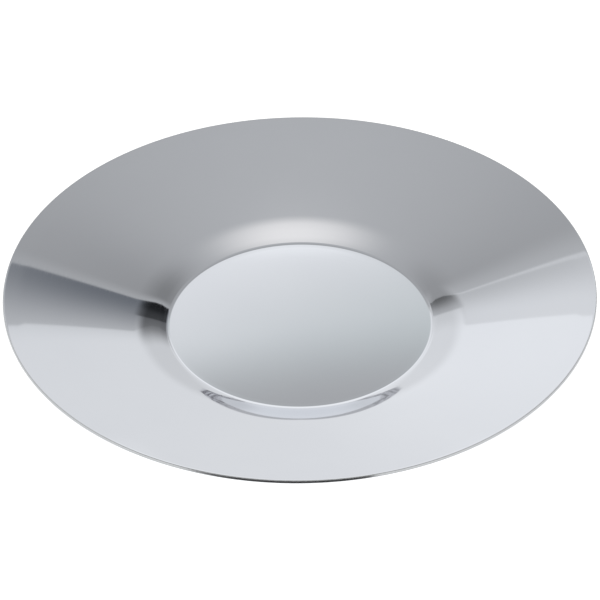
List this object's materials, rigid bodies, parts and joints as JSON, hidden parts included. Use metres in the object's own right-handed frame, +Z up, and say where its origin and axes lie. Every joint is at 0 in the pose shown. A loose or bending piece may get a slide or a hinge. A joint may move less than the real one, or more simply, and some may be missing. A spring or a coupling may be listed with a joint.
{
  "type": "saucer",
  "caption": "Round pressed sheet-metal saucer with a flat sunken cup well and a plain conical brim, which holds a cup upright and catches drips.",
  "frame": {"origin": "under the middle of the well, on the surface that the saucer stands on", "axes": "+Z up along the axis that the saucer is round about, X and Y across it"},
  "size_m": [0.15, 0.15, 0.0132],
  "materials": {
    "polished_stainless_steel": "mirror polished, with a plain trimmed edge"
  },
  "bodies": {
    "root": {"pressed_saucer": "polished_stainless_steel"}
  },
  "joints": []
}
